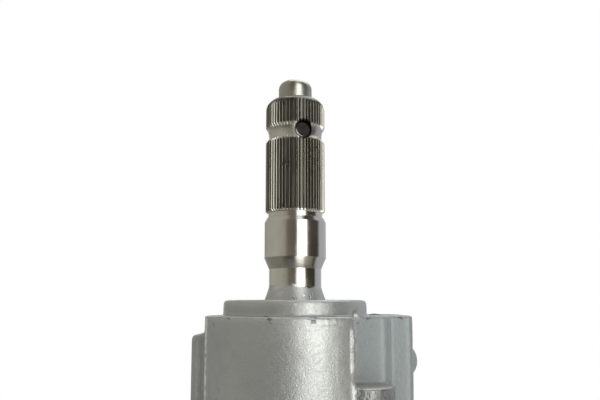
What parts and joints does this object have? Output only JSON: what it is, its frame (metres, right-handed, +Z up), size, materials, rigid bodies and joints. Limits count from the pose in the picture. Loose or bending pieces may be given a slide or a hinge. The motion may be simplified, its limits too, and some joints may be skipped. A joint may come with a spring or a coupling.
{
  "type": "steering gearbox",
  "caption": "Integral power steering gearbox: splined input shaft, rotary valve, ball worm, rack piston and sector shaft in a painted cast housing.",
  "frame": {"origin": "centre of the flat bottom rim of the gear housing, on the input shaft's axis", "axes": "+Z up along the input shaft, +Y along the sector shaft towards its serrated output end, +X towards the mounting faces"},
  "size_m": [0.1464, 0.171, 0.3039],
  "materials": {
    "cast_paint": "satin grey paint over sand-cast iron",
    "cast_grey": "machined grey iron",
    "ground_steel": "turned and ground steel",
    "machined_steel": "machined and case-hardened steel",
    "dark_steel": "blackened spring steel",
    "zinc_steel": "zinc-plated steel",
    "seal_rubber": "nitrile rubber",
    "ring_plastic": "filled PTFE",
    "brass": "turned brass and bronze"
  },
  "bodies": {
    "housing": {"gear_housing": "cast_paint", "valve_housing": "cast_paint", "valve_housing_bolts": "zinc_steel", "valve_housing_seal": "seal_rubber", "race_nut": "machined_steel", "thrust_races": "machined_steel", "input_bearing_shell": "machined_steel", "input_oil_seal": "seal_rubber", "input_retaining_ring": "dark_steel", "input_dust_seal": "seal_rubber", "passage_plug": "ground_steel", "top_passage_plug": "ground_steel", "port_seats": "brass", "side_cover": "cast_paint", "side_cover_bolts": "zinc_steel", "side_cover_seal": "seal_rubber", "side_cover_bush": "brass", "adjuster_screw": "zinc_steel", "adjuster_locknut": "zinc_steel", "output_bearing_shell": "machined_steel", "output_oil_seal": "seal_rubber", "output_dust_seal": "seal_rubber", "output_retaining_ring": "dark_steel", "end_plug": "cast_grey", "end_plug_seal": "seal_rubber", "end_plug_ring": "dark_steel"},
    "worm": {"worm_shaft": "machined_steel", "valve_sleeve": "machined_steel", "valve_sleeve_rings": "ring_plastic", "sleeve_drive_pin": "machined_steel"},
    "input": {"input_shaft": "ground_steel", "torsion_bar": "ground_steel", "torsion_bar_pin": "dark_steel"},
    "piston": {"rack_piston": "machined_steel", "ball_train": "machined_steel", "ball_return_guide": "machined_steel", "guide_clamp": "machined_steel", "guide_clamp_screws": "dark_steel", "piston_end_plug": "machined_steel", "piston_ring": "ring_plastic", "piston_backing_ring": "seal_rubber"},
    "sector": {"sector_shaft": "machined_steel", "pitman_nut": "dark_steel", "pitman_washer": "dark_steel"},
    "upper_rollers": {"upper_thrust_needles": "machined_steel"},
    "lower_rollers": {"lower_thrust_needles": "machined_steel"},
    "input_rollers": {"input_bearing_rollers": "machined_steel"},
    "output_rollers": {"output_bearing_rollers": "machined_steel"}
  },
  "joints": [
    {"name": "steer", "type": "hinge", "parent": "housing", "child": "worm", "pos_m": [0, 0, 0], "axis": [0, 0, 1], "range_deg": [-628.35, 628.35]},
    {"name": "valve_twist", "type": "hinge", "parent": "worm", "child": "input", "pos_m": [0, 0, 0], "axis": [0, 0, 1], "range_deg": [-4.5, 4.5], "stiffness_Nm_per_rad": 1.5},
    {"name": "piston_slide", "type": "slide", "parent": "housing", "child": "piston", "axis": [0, 0, 1], "range_m": [-0.01955, 0.01955]},
    {"name": "sector_turn", "type": "hinge", "parent": "housing", "child": "sector", "pos_m": [-0.053, 0, 0.08088], "axis": [0, 1, 0], "range_deg": [-40, 40]},
    {"name": "upper_rollers_turn", "type": "hinge", "parent": "housing", "child": "upper_rollers", "pos_m": [0, 0, 0], "axis": [0, 0, 1], "range_deg": [-314.2, 314.2]},
    {"name": "lower_rollers_turn", "type": "hinge", "parent": "housing", "child": "lower_rollers", "pos_m": [0, 0, 0], "axis": [0, 0, 1], "range_deg": [-314.2, 314.2]},
    {"name": "input_rollers_turn", "type": "hinge", "parent": "housing", "child": "input_rollers", "pos_m": [0, 0, 0], "axis": [0, 0, 1], "range_deg": [-284.48, 284.48]},
    {"name": "output_rollers_turn", "type": "hinge", "parent": "housing", "child": "output_rollers", "pos_m": [-0.053, 0, 0.08088], "axis": [0, 1, 0], "range_deg": [-18.66, 18.66]}
  ],
  "couplings": [
    {"joint": "steer", "follows": "piston_slide", "rad_per_m": -561},
    {"joint": "sector_turn", "follows": "piston_slide", "rad_per_m": -35.714},
    {"joint": "upper_rollers_turn", "follows": "piston_slide", "rad_per_m": -280.5},
    {"joint": "lower_rollers_turn", "follows": "piston_slide", "rad_per_m": -280.5},
    {"joint": "input_rollers_turn", "follows": "piston_slide", "rad_per_m": -253.96},
    {"joint": "output_rollers_turn", "follows": "piston_slide", "rad_per_m": -16.617}
  ]
}
